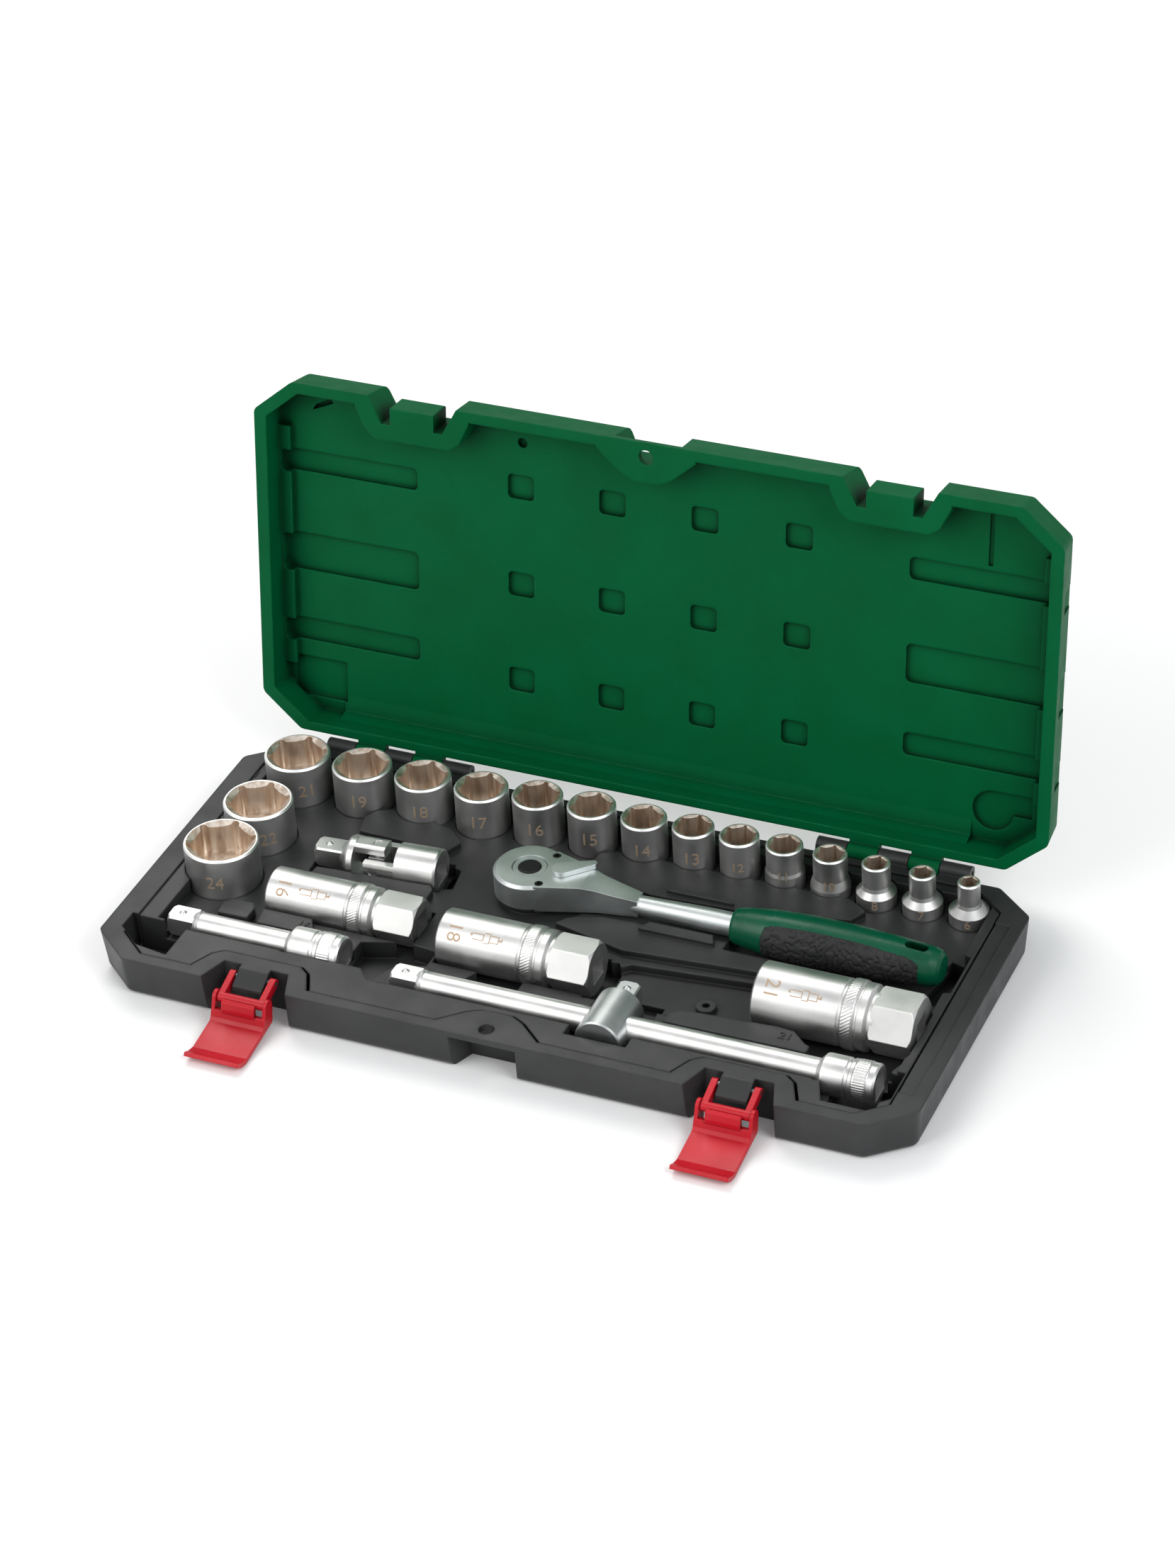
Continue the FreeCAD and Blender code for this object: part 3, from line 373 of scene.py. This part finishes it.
for size in socket_sizes:
    name = "socket_%02d" % size
    low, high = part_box(name)
    corner_reach = size * 0.00062
    dress([name], chrome(name + "_satin", (0.60, 0.60, 0.59), 0.42, tint=socket_tint(low, high, corner_reach)))
    foot = (high.x - low.x) / 2
    stepped = size < 10
    number = size_mark(name + "_number", str(size), 0.0058 if size > 12 else 0.0042, mark_thickness)
    mark_height = high.z - 0.0115 if not stepped else low.z + 0.0115
    wrap_upright(number, (low + high) / 2, foot + 0.00003, mark_height, math.radians(-50 if size in (21, 22) else -76))
    number.data.materials.append(mark_finish)
    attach(number, name)

# --- Plug sockets ---
# Long polished sockets for spark plugs, turned, with a diagonal knurl, a collar and a hexagon for a spanner.
# A black rubber sleeve inside grips the plug.


def knurl_ring(name, centre, start, end, radius, lines, slant, node):
    """A ring of diagonal ribs round a tool that lies along X."""
    rows = 10
    bare_selection()
    bpy.ops.mesh.primitive_circle_add(vertices=lines * 4, radius=radius, location=(0, 0, 0))
    ring = bpy.context.object
    ring.name = name
    bpy.ops.object.mode_set(mode="EDIT")
    bpy.ops.mesh.select_all(action="SELECT")
    for row in range(rows):
        step = (end - start) / rows
        bpy.ops.mesh.extrude_region_move(TRANSFORM_OT_translate={"value": (0, 0, step)})
    bpy.ops.object.mode_set(mode="OBJECT")
    for v in ring.data.vertices:
        turn = math.atan2(v.co.y, v.co.x)
        along = v.co.z / (end - start)
        edge_fade = min(1.0, 5.0 * min(along, 1 - along) + 0.05)
        rib = 0.00017 * math.cos(lines * turn + slant * along * 2 * math.pi)
        if slant == 0:
            rib = 0.00012 * (math.cos(lines * turn) + math.cos(rows * along * math.pi))
        reach = radius + rib * edge_fade
        v.co = Vector((start + v.co.z, centre.y + reach * math.cos(turn), centre.z + reach * math.sin(turn)))
    bpy.ops.object.mode_set(mode="EDIT")
    bpy.ops.mesh.select_all(action="SELECT")
    bpy.ops.mesh.normals_make_consistent(inside=False)
    bpy.ops.object.mode_set(mode="OBJECT")
    wall = ring.modifiers.new("wall", "SOLIDIFY")
    wall.thickness = 0.0004
    wall.offset = -1
    bpy.ops.object.modifier_apply(modifier="wall")
    bpy.ops.object.shade_smooth()
    ring.data.materials.append(polished)
    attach(ring, node)
    return ring


def wrap_lying(mark, centre, radius, along, facing, flip=1):
    """Lays a flat mark round a cylinder that lies along X, reading round it."""
    for v in mark.data.vertices:
        turn = facing - flip * v.co.x / radius
        reach = radius + v.co.z
        v.co = Vector((along + v.co.y * flip, centre.y - reach * math.cos(turn), centre.z + reach * math.sin(turn)))


def plug_outline(name):
    """A spark plug drawn in thin bars: terminal, insulator, hexagon, thread and electrode, lying along X."""
    line = 0.0004
    bars = [(0.0, 0.0, 0.0008, 0.0012)]
    for x0, x1, half in ((0.0008, 0.0060, 0.0011), (0.0060, 0.0088, 0.0019), (0.0088, 0.0126, 0.0013)):
        bars += [(x0, half, x1, half + line), (x0, -half - line, x1, -half), (x1 - line, -half, x1, half)]
    bars += [(0.0126, -line, 0.0142, line), (0.0142 - line, -line, 0.0142, 0.0011)]
    bare_selection()
    for x0, y0, x1, y1 in bars:
        centre = ((x0 + x1) / 2, (y0 + y1) / 2, 0)
        bpy.ops.mesh.primitive_cube_add(size=1, location=centre, scale=(x1 - x0, y1 - y0, mark_thickness))
        bar = bpy.context.object
        bpy.ops.object.mode_set(mode="EDIT")
        bpy.ops.mesh.select_all(action="SELECT")
        bpy.ops.mesh.subdivide(number_cuts=3)
        bpy.ops.object.mode_set(mode="OBJECT")
        bpy.ops.object.transform_apply(location=True, rotation=False, scale=True)
        if bars.index((x0, y0, x1, y1)) == 0:
            whole = bar
        else:
            bar.select_set(True)
            whole.select_set(True)
            bpy.context.view_layer.objects.active = whole
            bpy.ops.object.join()
        bpy.ops.object.select_all(action="DESELECT")
    whole.name = name
    return whole


polished = chrome("polished_chrome", (0.70, 0.70, 0.69), 0.40)
dress([n for n in nodes if n.startswith(("extension_l", "extension_s", "joint"))], polished)
for size in (16, 18, 21):
    name = "plug_socket_%02d" % size
    low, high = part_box(name)
    centre = (low + high) / 2
    ring_radius = (high.z - low.z) / 2
    dress([name], polished)
    knurl_ring(name + "_knurl", centre, low.x + 0.0383, low.x + 0.0431, ring_radius + 0.0001, 60, 2.4, name)
    number = size_mark(name + "_number", str(size), 0.0062, mark_thickness)
    wrap_lying(number, centre, ring_radius - 0.0003 + 0.00003, low.x + 0.0078, math.radians(52))
    number.data.materials.append(mark_finish)
    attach(number, name)
    outline = plug_outline(name + "_plug_outline")
    for v in outline.data.vertices:
        turn = math.radians(52) + v.co.y / ring_radius
        reach = ring_radius - 0.0003 + 0.00003 + v.co.z
        v.co = Vector((low.x + 0.0152 + v.co.x, centre.y - reach * math.cos(turn), centre.z + reach * math.sin(turn)))
    outline.data.materials.append(mark_finish)
    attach(outline, name)

# --- Sliding drive and extension ends ---
# Forged and turned, chromed; the extensions' square-holed ends carry a fine knurl.
slider_finish = chrome("slider_satin", (0.58, 0.60, 0.60), 0.38)
dress(["slider_drive", "slider_ball"], slider_finish)
for name in ("extension_short", "extension_long"):
    low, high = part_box(name)
    centre = (low + high) / 2
    knurl_ring(name + "_knurl", centre, high.x - 0.0096, high.x - 0.0032, 0.0086, 52, 0, name)

# --- Ratchet ---
# Forged head with a satin finish, black release button and screws, polished shank.
ratchet_finish = chrome("ratchet_satin", (0.60, 0.635, 0.63), 0.42)
dress(["ratchet_body", "ratchet_spindle", "ratchet_lever"], ratchet_finish)
pin_finish = chrome("pin_steel", (0.4, 0.4, 0.4), 0.4)
dress(["hinge_pins", "latch_pins"], pin_finish)
black = moulded_plastic("black_plastic", rgb(0.006, 0.006, 0.0065), rgb(0.012, 0.012, 0.0125), 0.42, 0.0004)
dress(["ratchet_button", "ratchet_screws"], black)
handle_finish = moulded_plastic("handle_green", rgb(0.0, 0.060, 0.028), rgb(0.001, 0.080, 0.038), 0.3, 0.0006, 1600.0)
dress(["ratchet_handle"], handle_finish)
grip_finish = moulded_plastic("grip_rubber", rgb(0.012, 0.012, 0.0125), rgb(0.026, 0.026, 0.027), 0.58, 0.0002)
dress([n for n in nodes if n.startswith("plug_insert")], grip_finish)

# --- Rubber inlay of the handle ---
# Soft rubber moulded into the front of the handle, with a crumpled leather-like relief.
from mathutils import noise

bare_selection()
grip = nodes["ratchet_grip"].copy()
grip.data = nodes["ratchet_grip"].data.copy()
grip.name = "grip_inlay"
grip.parent = None
bpy.context.scene.collection.objects.link(grip)
bpy.context.view_layer.objects.active = grip
grip.select_set(True)
bpy.ops.object.mode_set(mode="EDIT")
bpy.ops.mesh.select_all(action="SELECT")
bpy.ops.mesh.remove_doubles(threshold=0.00001)
bpy.ops.object.mode_set(mode="OBJECT")
grid = grip.modifiers.new("grid", "REMESH")
grid.mode = "VOXEL"
grid.voxel_size = 0.00042
bpy.ops.object.modifier_apply(modifier="grid")
axis_low, axis_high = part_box("ratchet_handle")
grip_axis = (axis_low + axis_high) / 2
bpy.context.view_layer.update()
for v in grip.data.vertices:
    outward = Vector((0, v.co.y - grip_axis.y, v.co.z - grip_axis.z))
    spot = Vector((v.co.x * 420, v.co.y * 260, v.co.z * 260))
    folds = abs(noise.noise(spot)) * 2.2 + abs(noise.noise(spot * 2.1)) * 0.9
    v.co = v.co - outward.normalized() * (0.0009 * max(0.0, 0.8 - folds))
bpy.ops.object.shade_smooth()
grip.data.materials.clear()
grip.data.materials.append(grip_finish)
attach(grip, "ratchet")
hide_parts("ratchet_grip")

# --- Size numbers moulded in the tray and the case's border ---
# Low raised numerals beside the wells, in the same grey plastic.
tray_numbers = {
    "24": (-0.1727, -0.0052, 0.0183), "22": (-0.1716, 0.0258, 0.0183), "21": (-0.1702, 0.0560, 0.0183),
    "16": (-0.1035, -0.0310, 0.0145), "18": (-0.0005, -0.0300, 0.0115), "21_block": (0.1130, -0.0370, 0.0165),
}
for words, (x, y, z) in tray_numbers.items():
    number = size_mark("tray_number_" + words, words[:2], 0.0042, 0.0006, 0)
    for v in number.data.vertices:
        v.co = v.co + Vector((x, y, z + 0.0001))
    number.data.materials.append(tray_finish)
    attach(number, "case")

# --- Floor finish ---
floor_finish, floor_shader, floor_place = new_finish("floor_white", 0.8)
feed(floor_shader, "Base Color", floor_place.noise(3.0).blend(rgb(0.86, 0.86, 0.86), rgb(0.9, 0.9, 0.9)))
floor.data.materials.append(floor_finish)
